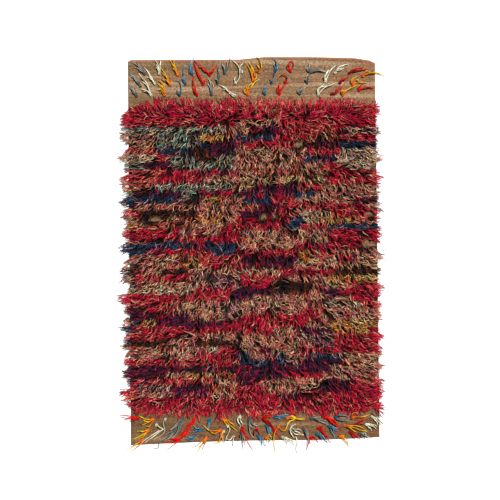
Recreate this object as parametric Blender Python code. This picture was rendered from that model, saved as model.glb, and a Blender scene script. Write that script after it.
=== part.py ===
"""A hand-knotted shag rug with flat-woven kilim ends, lying flat: metres, +Z up, length along Y.

The origin is on the underside, in the middle of the cloth. The ground cloth is woven in one
run: its two ends show as flat kilim with single tufts knotted in, and the long pile covers
the rest of it.
"""

import math
import random
from collections import namedtuple

import bmesh
import bpy

MM = 0.001

# Cloth: its thickness, and the clearance between neighbouring pieces.
CLOTH = 0.003
GAP = 0.0003

# Outline of the cloth, as (x, y) from left to right along each hem: the hems wander, the far
# right corner droops, and the near end is shifted to the right of the far one.
FAR_HEM = (
    (-0.607, 0.911),
    (-0.592, 0.920),
    (-0.065, 0.922),
    (0.055, 0.934),
    (0.275, 0.934),
    (0.490, 0.929),
    (0.560, 0.918),
    (0.589, 0.905),
)
NEAR_HEM = (
    (-0.592, -0.944),
    (-0.460, -0.938),
    (-0.270, -0.929),
    (-0.020, -0.922),
    (0.310, -0.919),
    (0.420, -0.915),
    (0.611, -0.905),
)
LEFT, RIGHT = 0, -1

# The cloth is parted under the pile, where the two kilim ends begin.
FAR_SEAM_Y = 0.690
NEAR_SEAM_Y = -0.745

# Pile: a lumpy slab that lies on the cloth and hangs past both selvedges.
PILE_FAR_Y = 0.716
PILE_NEAR_Y = -0.777
PILE_HEIGHT = 0.034
PILE_LUMP = 0.009
PILE_FURROW = 0.003
PILE_SHOULDER_RISE = (0.55, 0.70)
PILE_WALL = 0.006
PILE_SHOULDER = 0.034
PILE_SIDE_REACH = (0.002, 0.014)
PILE_END_RAGGED = 0.007
PILE_ROWS = 32
PILE_COLUMNS = 20
PILE_SEED = 17

# Locks at the pile's rim, in counts for one side and for one end.
SIDE_LOCKS = 34
END_LOCKS = 21
LOCK_ROOT_DEPTH = 0.026
LOCK_SWING = 0.6
SIDE_LOCK_REACH = (0.024, 0.048)
END_LOCK_REACH = (0.008, 0.015)

# A lock's stations from root to tip: its width, its thickness, and how high it lies.
Station = namedtuple("Station", "width height under")
LOCK_STATIONS = (
    Station(0.014, 0.010, 0.019),
    Station(0.018, 0.012, 0.015),
    Station(0.014, 0.009, 0.006),
    Station(0.006, 0.004, 0.000),
)

# Tufts on the kilim ends: a knot sunk into the cloth, and two free tails.
KNOT_SUNK = 0.0015
KNOT_UNDER = CLOTH - KNOT_SUNK
KNOT_PLACES = (-0.006, 0.0, 0.006)
KNOT_STATIONS = (
    Station(0.010, 0.007, KNOT_UNDER),
    Station(0.016, 0.010, KNOT_UNDER),
    Station(0.013, 0.008, KNOT_UNDER),
)
TAIL_WIDTH = 0.0115
TAIL_HEIGHT = 0.0070
TAIL_TIP = 0.45
TAIL_STEPS = 3
EDGE_SAMPLES = 8

# Wool colours, linear red, green and blue.
WOOL = {
    "camel": (0.262, 0.165, 0.098),
    "crimson": (0.330, 0.016, 0.040),
    "grey": (0.150, 0.165, 0.170),
    "cream": (0.560, 0.520, 0.400),
    "orange": (0.720, 0.250, 0.012),
    "blue": (0.035, 0.130, 0.240),
    "red": (0.640, 0.012, 0.010),
    "maroon": (0.330, 0.020, 0.016),
}
ROUGHNESS = 0.9

# One row for each tuft, in millimetres: its colour, where its knot is, how far each tail's
# tip lies from the knot, and how far the tails bow to their left on the way.
Tuft = namedtuple("Tuft", "colour x y tip_x tip_y tip2_x tip2_y bow")
FAR_TUFTS = (
    Tuft("grey", -525, 851, -67, 59, -45, 62, -6),
    Tuft("cream", -455, 851, -20, 76, 2, 74, -4),
    Tuft("orange", -366, 846, -46, 78, -28, 78, -5),
    Tuft("blue", -295, 849, 7, 86, -5, 53, 6),
    Tuft("red", -210, 846, -89, 74, 31, 56, -5),
    Tuft("grey", -138, 854, 27, 89, -12, 56, -6),
    Tuft("cream", -56, 859, 4, 46, -8, 40, 5),
    Tuft("orange", 28, 859, -23, 80, 3, 62, -14),
    Tuft("blue", 106, 867, -13, 63, 10, 35, 6),
    Tuft("red", 180, 864, 2, 48, -12, 40, -9),
    Tuft("grey", 277, 857, 5, 61, 86, -2, 14),
    Tuft("cream", 394, 857, 73, 47, 50, 20, 4),
    Tuft("maroon", 465, 855, 93, 16, 70, 28, 5),
    Tuft("orange", 529, 841, 113, -2, 80, 12, 5),
    Tuft("grey", -546, 793, -56, 63, -35, 55, -5),
    Tuft("cream", -476, 803, -57, 81, -39, 33, -6),
    Tuft("orange", -402, 798, -53, 96, -43, 28, -7),
    Tuft("blue", -328, 803, -10, 94, -4, 60, 4),
    Tuft("red", -243, 801, -56, 118, 17, 33, -4),
    Tuft("grey", -172, 806, 6, 109, -13, 30, -7),
    Tuft("cream", -86, 806, -18, 114, 2, 28, -22),
    Tuft("orange", 0, 818, -25, 94, 18, 30, -6),
    Tuft("blue", 88, 811, 13, 50, -14, 28, 6),
    Tuft("red", 155, 811, -39, 4, -20, 35, -24),
    Tuft("grey", 260, 809, 17, 50, 2, 28, 5),
    Tuft("cream", 348, 813, 50, 81, 20, 60, 9),
    Tuft("maroon", 418, 808, 51, 36, 35, 18, 4),
    Tuft("orange", 481, 797, 73, 5, 24, 43, 6),
    Tuft("grey", -565, 745, -39, 58, -14, 53, -5),
    Tuft("cream", -494, 748, -67, 110, -54, 27, -9),
    Tuft("orange", -428, 748, -42, 58, -42, 28, -20),
    Tuft("blue", -356, 749, -23, 71, -10, 26, -14),
    Tuft("red", -272, 749, -20, 101, 2, 48, 7),
    Tuft("grey", -203, 751, -20, 86, 5, 61, -5),
    Tuft("cream", -111, 758, -63, 47, 35, -14, -6),
    Tuft("orange", -28, 751, 58, 76, 5, 53, 12),
    Tuft("blue", 57, 753, 18, 53, 6, 40, 4),
    Tuft("red", 127, 753, 45, 56, 5, 53, 5),
    Tuft("grey", 226, 755, 34, 35, -6, 26, 5),
    Tuft("cream", 313, 751, 83, 56, 40, 52, 14),
    Tuft("maroon", 378, 753, 73, 73, 45, 35, 5),
    Tuft("orange", 432, 749, 87, 56, 24, 27, 7),
    Tuft("red", 512, 772, 78, 9, 24, 33, 5),
)
NEAR_TUFTS = (
    Tuft("red", -555, -814, -96, 10, -76, -15, -5),
    Tuft("orange", -485, -817, -72, 13, -55, -31, -12),
    Tuft("cream", -426, -817, -66, -157, -35, -83, 13),
    Tuft("grey", -342, -812, -58, -66, -30, -60, 5),
    Tuft("red", -285, -812, -136, -166, -51, -45, 10),
    Tuft("blue", -212, -817, -23, -59, -8, -40, 4),
    Tuft("orange", -146, -817, 74, -61, 18, -33, 5),
    Tuft("cream", -64, -806, -5, -62, 10, -50, 8),
    Tuft("grey", -21, -814, 25, -99, 43, -38, -5),
    Tuft("red", 46, -810, 89, -104, 43, 4, 5),
    Tuft("blue", 102, -809, 86, 6, 43, -8, 5),
    Tuft("orange", 160, -814, 92, -5, 50, 5, 4),
    Tuft("grey", 279, -812, 89, -31, 40, -8, 6),
    Tuft("red", 350, -808, 79, -64, 40, -45, 7),
    Tuft("blue", 397, -809, 89, -15, 70, 6, 4),
    Tuft("orange", 479, -809, 92, 4, 60, 6, 9),
    Tuft("cream", 573, -805, 56, -45, 30, -40, 5),
    Tuft("orange", -505, -868, -77, -48, -60, -10, 7),
    Tuft("cream", -468, -845, -63, -91, -30, -60, 6),
    Tuft("grey", -377, -868, -79, -68, -50, -30, 5),
    Tuft("red", -312, -858, -92, -72, -50, -62, 5),
    Tuft("blue", -249, -868, -61, -15, -46, 15, 5),
    Tuft("orange", -158, -870, -89, 20, -43, -74, 26),
    Tuft("cream", -123, -850, 30, -41, -9, -55, 7),
    Tuft("grey", -57, -880, 8, -86, -12, -50, 5),
    Tuft("red", -50, -857, 56, -110, 10, -30, -10),
    Tuft("red", 17, -865, 23, -56, -5, -58, 5),
    Tuft("blue", 64, -850, 28, -68, 10, -45, 5),
    Tuft("orange", 122, -853, -23, -139, 46, 30, 7),
    Tuft("cream", 178, -868, 31, -107, 61, -23, 10),
    Tuft("grey", 241, -862, 40, -79, 33, -51, 5),
    Tuft("red", 314, -860, 63, -78, 36, -8, 6),
    Tuft("blue", 367, -850, 33, -63, 43, -26, 5),
    Tuft("orange", 441, -849, 115, -29, 60, -30, 7),
    Tuft("maroon", 494, -844, 60, 30, 40, 5, 5),
    Tuft("cream", 544, -842, 55, -22, 30, -30, 5),
    Tuft("orange", -534, -916, -79, -53, -62, -40, 6),
    Tuft("red", -347, -908, -86, -30, -60, -10, 5),
    Tuft("blue", -287, -903, -48, -15, -34, -2, 5),
    Tuft("orange", -227, -905, -71, -61, -48, -81, 5),
    Tuft("cream", -143, -876, 6, -91, -5, -50, 6),
    Tuft("blue", 23, -898, 41, -53, 20, -50, 5),
    Tuft("orange", 61, -908, 33, 8, 18, -25, 5),
    Tuft("cream", 140, -903, 61, -38, 30, -40, 5),
    Tuft("red", 266, -903, -13, -71, 53, -28, 5),
    Tuft("blue", 307, -890, 56, -43, 30, -20, 5),
    Tuft("orange", 417, -899, 53, -51, 30, -20, 5),
    Tuft("maroon", 467, -882, 56, -34, 30, -32, 5),
    Tuft("grey", 513, -889, 65, -19, 30, -25, 4),
)


def clear_scene():
    for thing in list(bpy.data.objects):
        bpy.data.objects.remove(thing)


def wool(colour):
    """The dyed wool of that colour, made once."""
    material = bpy.data.materials.get("wool_" + colour)
    if material is None:
        material = bpy.data.materials.new("wool_" + colour)
        material.use_nodes = True
        shader = material.node_tree.nodes["Principled BSDF"]
        shader.inputs["Base Color"].default_value = (*WOOL[colour], 1.0)
        shader.inputs["Roughness"].default_value = ROUGHNESS
        shader.inputs["Metallic"].default_value = 0.0
    return material


def finish_object(name, bm, colours):
    """An object of the mesh, with one material for each of the colours."""
    bmesh.ops.recalc_face_normals(bm, faces=bm.faces)
    mesh = bpy.data.meshes.new(name)
    bm.to_mesh(mesh)
    bm.free()
    for colour in colours:
        mesh.materials.append(wool(colour))
    thing = bpy.data.objects.new(name, mesh)
    bpy.context.scene.collection.objects.link(thing)
    return thing


def fuse(body, strands):
    """Joins the strands to the body by a union; the strands' own object is only a helper."""
    strands.hide_render = True
    strands.display_type = "WIRE"
    union = body.modifiers.new("fused_roots", "BOOLEAN")
    union.operation = "UNION"
    union.solver = "EXACT"
    union.use_self = True
    union.object = strands


def hem_y(hem, x):
    """y of a hem at x, straight between its points."""
    for (x0, y0), (x1, y1) in zip(hem, hem[1:]):
        if x <= x1:
            break
    return y0 + (y1 - y0) * (x - x0) / (x1 - x0)


def selvedge_x(side, y):
    """x of the cloth's LEFT or RIGHT edge at y."""
    (far_x, far_y), (near_x, near_y) = FAR_HEM[side], NEAR_HEM[side]
    return near_x + (far_x - near_x) * (y - near_y) / (far_y - near_y)


def on_cloth(x, y):
    """Whether there is cloth under this point."""
    if not selvedge_x(LEFT, y) <= x <= selvedge_x(RIGHT, y):
        return False
    return hem_y(NEAR_HEM, x) <= y <= hem_y(FAR_HEM, x)


def seam(y):
    """The two ends of a straight seam across the cloth, left then right."""
    return [(selvedge_x(LEFT, y), y), (selvedge_x(RIGHT, y), y)]


def cloth_sheet(name, outline):
    """A flat sheet of the cloth with that outline, on the floor."""
    bm = bmesh.new()
    under = bm.faces.new([bm.verts.new((x, y, 0.0)) for x, y in outline])
    raised = bmesh.ops.extrude_face_region(bm, geom=[under], use_keep_orig=True)
    top = [part for part in raised["geom"] if isinstance(part, bmesh.types.BMVert)]
    bmesh.ops.translate(bm, verts=top, vec=(0.0, 0.0, CLOTH))
    return finish_object(name, bm, WOOL)


def add_strand(bm, route, stations, material):
    """A closed strand of three sides, flat side down, with a station at each (x, y) of its route.

    A station gives the width, the thickness, and the height of the underside there.
    """
    rings = []
    for i, ((x, y), station) in enumerate(zip(route, stations)):
        ahead = route[min(i + 1, len(route) - 1)]
        behind = route[max(i - 1, 0)]
        run_x, run_y = ahead[0] - behind[0], ahead[1] - behind[1]
        half = station.width / 2 / math.hypot(run_x, run_y)
        side_x, side_y = -run_y * half, run_x * half
        left = (x + side_x, y + side_y, station.under)
        right = (x - side_x, y - side_y, station.under)
        crest = (x, y, station.under + station.height)
        rings.append([bm.verts.new(corner) for corner in (left, right, crest)])
    faces = [bm.faces.new(rings[0]), bm.faces.new(rings[-1])]
    for first, second in zip(rings, rings[1:]):
        for i in range(3):
            j = (i + 1) % 3
            faces.append(bm.faces.new((first[i], first[j], second[j], second[i])))
    for face in faces:
        face.material_index = material


def bowed_route(start, reach, bow):
    """Points from start to start plus reach, bowed to the left of the run."""
    length = math.hypot(*reach)
    points = []
    for i in range(TAIL_STEPS + 1):
        t = i / TAIL_STEPS
        out = 4 * t * (1 - t) * bow / length
        points.append((start[0] + reach[0] * t - reach[1] * out, start[1] + reach[1] * t + reach[0] * out))
    return points


def cloth_below(a, b):
    """Whether any of the stretch from a to b has cloth under it."""
    for i in range(EDGE_SAMPLES + 1):
        t = i / EDGE_SAMPLES
        if on_cloth(a[0] + (b[0] - a[0]) * t, a[1] + (b[1] - a[1]) * t):
            return True
    return False


def tail_stations(route):
    """A tail's taper, and the height it lies at: on the cloth, or past its edge on the floor."""
    stations = []
    for i, point in enumerate(route):
        full = 1 - (1 - TAIL_TIP) * i / TAIL_STEPS
        neighbours = route[max(i - 1, 0) : i + 2]
        high = any(cloth_below(point, other) for other in neighbours)
        stations.append(Station(TAIL_WIDTH * full, TAIL_HEIGHT * full, CLOTH + GAP if high else 0.0))
    return stations


def add_knot(bm, tuft, material):
    """A low lump of yarn that points the way its tails go, sunk a little into the cloth."""
    heading = math.atan2(tuft.tip_y + tuft.tip2_y, tuft.tip_x + tuft.tip2_x)
    route = []
    for along in KNOT_PLACES:
        route.append((tuft.x * MM + along * math.cos(heading), tuft.y * MM + along * math.sin(heading)))
    add_strand(bm, route, KNOT_STATIONS, material)


def add_tuft(bm, tuft, material):
    add_knot(bm, tuft, material)
    for reach_x, reach_y in ((tuft.tip_x, tuft.tip_y), (tuft.tip2_x, tuft.tip2_y)):
        route = bowed_route((tuft.x * MM, tuft.y * MM), (reach_x * MM, reach_y * MM), tuft.bow * MM)
        add_strand(bm, route, tail_stations(route), material)


def kilim_end(name, outline, tufts):
    """One flat-woven end with its tufts, whose knots are fused into the cloth."""
    bm = bmesh.new()
    colours = list(WOOL)
    for tuft in tufts:
        add_tuft(bm, tuft, colours.index(tuft.colour))
    fuse(cloth_sheet(name, outline), finish_object(name + "_tufts", bm, WOOL))


def rim_spacing(count, span):
    """Fractions from 0 to 1 with two close steps at each end, for the slab's round shoulder."""
    edge = PILE_SHOULDER / span
    inner = [edge + (1 - 2 * edge) * i / count for i in range(count + 1)]
    return [0.0, edge / 3, *inner, 1 - edge / 3, 1.0]


def pile_height(i, j, columns, rows, draw):
    """Height of the slab's top at one point of its grid, over its underside."""
    ring = min(i, j, columns - 1 - i, rows - 1 - j)
    if ring == 0:
        return PILE_WALL
    if ring == 1:
        return PILE_HEIGHT * draw.uniform(*PILE_SHOULDER_RISE)
    furrow = PILE_FURROW if j % 2 else -PILE_FURROW
    return PILE_HEIGHT + furrow + draw.uniform(-PILE_LUMP, PILE_LUMP)


def pile_grid(bm, draw):
    """Rows of vertices over the slab's top, from its near end to its far end."""
    across = rim_spacing(PILE_COLUMNS, selvedge_x(RIGHT, 0.0) - selvedge_x(LEFT, 0.0))
    along = rim_spacing(PILE_ROWS, PILE_FAR_Y - PILE_NEAR_Y)
    ragged = [draw.uniform(-PILE_END_RAGGED, PILE_END_RAGGED) for _ in across]
    grid = []
    for j, v in enumerate(along):
        y_even = PILE_NEAR_Y + (PILE_FAR_Y - PILE_NEAR_Y) * v
        left = selvedge_x(LEFT, y_even) - draw.uniform(*PILE_SIDE_REACH)
        right = selvedge_x(RIGHT, y_even) + draw.uniform(*PILE_SIDE_REACH)
        line = []
        for i, u in enumerate(across):
            height = pile_height(i, j, len(across), len(along), draw)
            line.append(bm.verts.new((left + (right - left) * u, y_even + ragged[i], CLOTH + GAP + height)))
        grid.append(line)
    return grid


def pile_slab(draw):
    """The pile's lumpy body, with a flat underside and a low wall around its rim."""
    bm = bmesh.new()
    grid = pile_grid(bm, draw)
    for low, high in zip(grid, grid[1:]):
        for i in range(len(low) - 1):
            bm.faces.new((low[i], low[i + 1], high[i + 1], high[i]))
    right_side = [line[-1] for line in grid[1:-1]]
    left_side = [line[0] for line in grid[-2:0:-1]]
    rim = grid[0] + right_side + grid[-1][::-1] + left_side
    foot = [bm.verts.new((vertex.co.x, vertex.co.y, CLOTH + GAP)) for vertex in rim]
    for i in range(len(rim)):
        j = (i + 1) % len(rim)
        bm.faces.new((rim[i], foot[i], foot[j], rim[j]))
    bm.faces.new(foot)
    return finish_object("shag_pile", bm, ["crimson"])


def add_lock(bm, root, heading, reach, floor):
    """A tapering lock of pile from inside the slab, out over its rim and down to the floor."""
    run = LOCK_ROOT_DEPTH + reach
    last = len(LOCK_STATIONS) - 1
    route = []
    for i in range(last + 1):
        out = run * i / last
        route.append((root[0] + math.cos(heading) * out, root[1] + math.sin(heading) * out))
    stations = [station._replace(under=station.under + floor) for station in LOCK_STATIONS]
    add_strand(bm, route, stations, 0)


def side_locks(bm, draw):
    """Locks past both selvedges, with their tips on the floor."""
    for side, outward in ((LEFT, math.pi), (RIGHT, 0.0)):
        for k in range(SIDE_LOCKS):
            y = PILE_NEAR_Y + (PILE_FAR_Y - PILE_NEAR_Y) * (k + 0.5) / SIDE_LOCKS
            root_x = selvedge_x(side, y) - math.cos(outward) * LOCK_ROOT_DEPTH
            heading = outward + draw.uniform(-LOCK_SWING, LOCK_SWING)
            add_lock(bm, (root_x, y), heading, draw.uniform(*SIDE_LOCK_REACH), 0.0)


def end_locks(bm, draw):
    """Locks over the inner edge of each kilim end, with their tips on the cloth."""
    for end_y, outward in ((PILE_FAR_Y, math.pi / 2), (PILE_NEAR_Y, -math.pi / 2)):
        left, right = selvedge_x(LEFT, end_y), selvedge_x(RIGHT, end_y)
        for k in range(END_LOCKS):
            x = left + (right - left) * (k + 0.5) / END_LOCKS
            root_y = end_y - math.sin(outward) * LOCK_ROOT_DEPTH
            heading = outward + draw.uniform(-LOCK_SWING, LOCK_SWING)
            add_lock(bm, (x, root_y), heading, draw.uniform(*END_LOCK_REACH), CLOTH + GAP)


def shag_pile():
    """The pile: its slab, with the locks at its rim fused in."""
    draw = random.Random(PILE_SEED)
    slab = pile_slab(draw)
    bm = bmesh.new()
    side_locks(bm, draw)
    end_locks(bm, draw)
    fuse(slab, finish_object("rim_locks", bm, ["crimson"]))


def build():
    clear_scene()
    cloth_sheet("ground_weave", [*seam(NEAR_SEAM_Y), *reversed(seam(FAR_SEAM_Y))])
    kilim_end("kilim_end_far", [*seam(FAR_SEAM_Y + GAP), *reversed(FAR_HEM)], FAR_TUFTS)
    kilim_end("kilim_end_near", [*NEAR_HEM, *reversed(seam(NEAR_SEAM_Y - GAP))], NEAR_TUFTS)
    shag_pile()


build()
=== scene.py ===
"""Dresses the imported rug: metres, +Z up, its length along Y, the far kilim end at +Y.

The cloth is one woven sheet from hem to hem, the pile is some twenty thousand curling ends of
yarn rooted in it in rows of knots, and each kilim end carries single tufts of bright wool.
"""

import math
from collections import namedtuple

import bpy
import numpy as np
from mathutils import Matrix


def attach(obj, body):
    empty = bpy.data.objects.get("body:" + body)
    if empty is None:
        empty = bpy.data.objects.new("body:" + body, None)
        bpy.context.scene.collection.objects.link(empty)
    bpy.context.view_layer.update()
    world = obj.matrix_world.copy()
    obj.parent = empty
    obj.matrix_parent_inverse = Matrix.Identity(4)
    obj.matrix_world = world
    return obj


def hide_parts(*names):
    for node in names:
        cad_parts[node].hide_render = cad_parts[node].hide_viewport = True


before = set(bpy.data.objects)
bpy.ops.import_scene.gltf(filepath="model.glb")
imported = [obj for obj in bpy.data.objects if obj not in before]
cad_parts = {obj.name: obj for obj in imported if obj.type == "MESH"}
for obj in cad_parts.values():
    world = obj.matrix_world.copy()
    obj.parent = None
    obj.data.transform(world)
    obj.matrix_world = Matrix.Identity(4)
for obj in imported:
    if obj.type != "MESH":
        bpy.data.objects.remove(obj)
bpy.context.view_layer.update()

MM = 0.001
CM = 0.01

# Thickness of the cloth, and its outline as (x, y) from left to right along each hem, as the
# solids have them.
CLOTH = 0.003
FAR_HEM = (
    (-0.607, 0.911), (-0.592, 0.920), (-0.065, 0.922), (0.055, 0.934),
    (0.275, 0.934), (0.490, 0.929), (0.560, 0.918), (0.589, 0.905),
)
NEAR_HEM = (
    (-0.592, -0.944), (-0.460, -0.938), (-0.270, -0.929), (-0.020, -0.922),
    (0.310, -0.919), (0.420, -0.915), (0.611, -0.905),
)
# The places of a hem's left and right ends in its list.
LEFT, RIGHT = 0, -1

# Grid of the cloth: fine over the kilim ends, coarse under the pile.
CLOTH_COLUMNS = 210
KILIM_ROWS = 44
HIDDEN_ROWS = 72
KILIM_SHARE = 0.125
CLOTH_SEED = 3

# Relief of the cloth: gentle waves, rolled hems and selvedges, and a rounded edge.
CLOTH_WAVE = 0.0005
CLOTH_WAVE_PITCH = (0.30, 0.10)
HEM_WIDTH = 0.007
HEM_SPREAD = 0.45 * HEM_WIDTH
HEM_RISE = 0.0011
SELVEDGE_WIDTH = 0.003
SELVEDGE_RISE = 0.0007
EDGE_WIDTH = 0.003
EDGE_DROP = 0.0012
# The pink line: full up to the first distance from its hem, gone at the second.
FAR_LINE = (0.004, 0.010)
NEAR_LINE = (0.002, 0.007)
NEAR_LINE_STRENGTH = 0.35
# Where the painted shade of the pile on the cloth begins and is full, from its near line of
# knots, and where it is full and ends, from its far line.
NEAR_SHADE_EDGE = (-0.004, 0.012)
FAR_SHADE_EDGE = (-0.008, 0.010)

# Pile: one row of knots for each course, and two ends of yarn from each knot.
PILE_SEED = 29
PILE_BANDS = 6
PILE_FAR_Y = 0.690
PILE_NEAR_Y = -0.759
PILE_INSET_LEFT, PILE_INSET_RIGHT = 0.006, 0.022
KNOTS_IN_ROW = 225
KNOT_STRAY = 0.011
KNOT_SHIFT = 0.3
RIM_KNOTS = 6
RIM_DEPTH = 0.022
YARNS_IN_KNOT = 2
ROOT_HEIGHT = 0.004
ROOT_STRAY = 0.0018
# A course shows below its knots, or above them in the first courses at the far end.
COURSE_FALL = 0.022
COURSE_RISE = 0.023
RISING_COURSES = 4
# The pile's far edge, as (x, how far it falls short of its line), in its first courses.
FAR_EDGE = (
    (-0.600, 0.020), (-0.530, 0.016), (-0.460, 0.0), (-0.200, 0.0),
    (-0.175, 0.030), (-0.140, 0.0), (0.600, 0.004),
)
FAR_EDGE_COURSES = 3

# A yarn of the pile: its size, and its taper as places along it and shares of its radius.
YARN_POINTS = 7
YARN_SIDES = 3
YARN_RADIUS = (0.0015, 0.0024)
YARN_LENGTH = (0.047, 0.065)
YARN_TAPER = ((0, 0.15, 0.7, 1), (0.85, 1.0, 0.9, 0.45))
# Yarns low in the pile are thinner, by level from 0 to 1.
THIN, THICKER_BY_LEVEL = 0.85, 0.35

# The way the pile falls, as a push along X and Y: out at the sides, down the rug, up at its
# far end. Turns and rims are where along the rug, or how far from the selvedge, it changes.
WANDER_PITCH = (0.26, 0.06)
WANDERS = 18
WANDER_X, WANDER_Y = 0.40, 0.45
CALM_X, CALM_Y = 0.4, 0.7
HALF_WIDTH = 0.60
OUT, OUT_AT_SIDE = 0.50, 1.3
OUT_AT_SELVEDGE, LESS_AT_FAR_END = 2.2, 0.45
DOWN, UP_AT_FAR_END, DOWN_AT_NEAR_END = 0.85, 1.75, 0.5
FAR_TURN = (0.560, 0.705)
FAR_CALM = (0.540, 0.620)
NEAR_TURN = (-0.77, -0.69)
RIGHT_RIM = (0.01, 0.09)
LEFT_RIM = (0.01, 0.10)

# How far yarns stray from it, in radians: more where the push is weak, less at the rim.
LOOSE, LOOSE_WHERE_WEAK, WEAK_PUSH = 0.30, 1.1, 0.45
TIGHT_AT_RIM = 0.6
YARN_TURN, TURN_LESS_AT_RIM = 0.20, 0.4

# Locks at the pile's rim and ends: their pitch, how far they lean, and how they stretch it.
RIM_ZONE = (0.010, 0.055)
END_ZONE = 0.035
LOCK_PITCH = (0.100, 0.035)
LOCK_STEP = 0.006
END_LEAN, SIDE_LEAN = 0.45, 0.35
FAR_STRETCH, NEAR_STRETCH, SIDE_STRETCH = 0.06, 0.17, 0.22
ROW_REACH = (0.76, 1.12)

# How steeply a yarn rises, in degrees: more by its level, and where the push is weak.
RISE, RISE_BY_LEVEL, RISE_WHERE_WEAK, STEEP_PUSH = 40, 30, 16, 0.7
# Yarns lie flatter at the rim, at the pile's ends and by the bare spots.
FLAT_AT_ENDS = 0.7
LONGER_WHERE_FLAT = 0.04
LOWER_WHERE_FLAT, LOWER_BY_SPOT = 0.45, 0.6
STRAIGHTER_WHERE_FLAT = 0.5

# A yarn's path: how far its tip can point down, in degrees, its one bend, and its sways up and
# aside: least and most radians, then fewest and most waves.
TIP_FALL = 32
FALL_POWER = 0.7
BEND, BEND_MIDDLE = 0.38, 0.4
SWAY_UP = (0.08, 0.35, 0.8, 2.0)
SWAY_ASIDE = (0.24, 0.80, 0.8, 1.9)
# A yarn's height fades over these lengths past the cloth's edge and off the pile's ends.
FADE_PAST_CLOTH, FADE_PAST_PILE = 0.020, 0.028
FADE_FROM = 0.004
CLOTH_EDGE = 0.001
YARN_CLEARANCE = 0.0003

# The point of a yarn that takes its wool from the run where it lies, and how loosely.
SHOWN_POINT = 4
SHOWN_STRAY = 0.001
DYE_SPREAD, HUE_SPREAD = 0.28, 0.06

# Painted light and shade in a yarn's colour: none below the dark height and all above the full
# one, less at its root and low in the pile, and more in the open at the rim.
DARK_HEIGHT, DARK_LESS_WHERE_FLAT = 0.006, 0.002
FULL_HEIGHT, FULL_LESS_WHERE_FLAT = 0.025, 0.010
ROOT_LIGHT, TIP_LIGHT = 0.10, 0.97
LOW_LIGHT, HIGH_LIGHT = 0.24, 1.16
PILE_LIGHT = 1.27
OPEN_LIGHT = 0.85
OPEN_EDGE = (-0.030, 0.010)
OPEN_PAST_END = 0.01
BRIGHTEST_YARN = 0.92

# Colour runs of the pile, one line for each course from the far end to the near one. Each run
# gives its blend of wools, and how many centimetres from the pile's left edge the next begins.
PILE_LEFT = -0.645
FAR_COURSE_Y = 0.713
FAR_COURSES = 12
FAR_PITCH, NEAR_PITCH = 0.0344, 0.0313
COURSES = (
    "red 55, rosy 94, red",
    "red 60, rosy 92, red",
    "red 64, rosy 90, red",
    "red 56, sandy 77, rosy 100, red",
    "sage 50, sandy 63, plum 78, rosy 107, grey",
    "sandy 17, sage 38, golden 50, rusty 56, navy 75, rosy 90, rusty 107, red",
    "sandy 15, sage 38, navy 44, plum 57, red 78, rosy 90, plum 107, navy",
    "pinkish 18, navy 34, bark 43, plum 56, sandy 66, dusty 90, rosy 106, pale",
    "pale 17, rosy 24, sage 36, bark 46, sage 55, dusty 90, navy 104, pale",
    "sage 11, plum 24, sage 55, dusty 98, rosy 108, pale",
    "pinkish 20, red 38, wine 55, dusty 66, rusty 87, olive 100, red",
    "rosy 20, red 39, dusty 58, olive 99, red",
    "rusty 15, sage 54, olive 64, plum 85, rosy 98, sandy",
    "sage 7, plum 30, sage 39, wine 55, plum 62, wine 84, navy 94, dusty",
    "navy 28, grey 40, golden 49, dusty 60, navy 73, rosy 86, dusty 113, plum",
    "grey 8, dusty 58, rusty 67, plum 81, rosy 103, red 120, dusty",
    "rosy 9, bark 38, dusty 58, plum 74, red 86, pale 102, rosy",
    "sandy 9, bark 20, rusty 38, golden 50, dusty 57, red 82, navy 90, pale 98, golden 112, rusty",
    "golden 6, sandy 12, rusty 37, sandy 50, rosy 62, red 80, navy 88, rosy 100, navy",
    "red 29, dusty 48, red 59, grey 66, sandy 100, red",
    "red 58, rusty 66, sandy 88, olive 102, red",
    "navy 36, wine 41, navy 57, sandy 84, wine 102, red",
    "navy 12, wine 20, red 44, navy 55, red 87, golden 93, rosy 104, sandy",
    "dusty 28, rusty 40, rosy 59, plum 86, golden 94, dusty 105, wine 114, sandy",
    "dusty 30, golden 40, rosy 59, plum 84, dusty 105, olive",
    "bark 10, dusty 20, bark 33, dusty 77, red 104, bark",
    "grey 7, red 34, grey 58, red 78, dusty 100, golden",
    "grey 8, sandy 42, grey 58, red 74, golden 79, bark 93, sandy 101, olive 112, rosy",
    "pale 36, rosy 55, plum 74, bark 92, sandy 96, plum 106, red",
    "red 30, rosy 56, plum 62, dusty 112, red",
    "rosy 25, sandy 51, grey 57, sandy 95, rusty 99, pale 118, rosy",
    "rusty 3, plum 12, rosy 25, sandy 51, grey 57, dusty 88, rosy 100, dusty",
    "plum 33, sandy 50, grey 58, red 98, dusty",
    "sandy 5, navy 10, golden 17, plum 50, red 90, dusty 102, golden",
    "navy 6, red 74, dusty 86, plum 104, golden 120, red",
    "red 30, dusty 56, sandy 78, dusty 88, grey 104, red",
    "bark 24, dusty 37, bark 58, sandy 70, dusty 90, grey 104, red",
    "dusty 18, rusty 25, dusty 42, pale 48, red 57, sandy 68, plum 73, dusty 86, red",
    "dusty 37, red 57, navy 63, dusty 76, navy 80, dusty 90, navy 106, sandy",
    "rosy 58, navy 71, plum 77, navy 83, dusty 88, plum 107, sandy",
    "plum 42, wine 48, plum 57, wine 63, plum 102, sandy",
    "plum 22, sandy 32, golden 44, rusty 56, plum 80, red 98, sandy 111, dusty",
    "wine 14, rosy 46, dusty 57, plum 66, sandy 99, plum 112, rosy",
    "red 8, grey 25, plum 43, rusty 56, rosy 70, sandy 97, plum 112, red",
    "rosy 8, dusty 25, wine 44, dusty 55, red 76, wine 93, red",
    "red 30, rosy 60, red",
    "red",
    "red 60, rosy 95, red",
)

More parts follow.
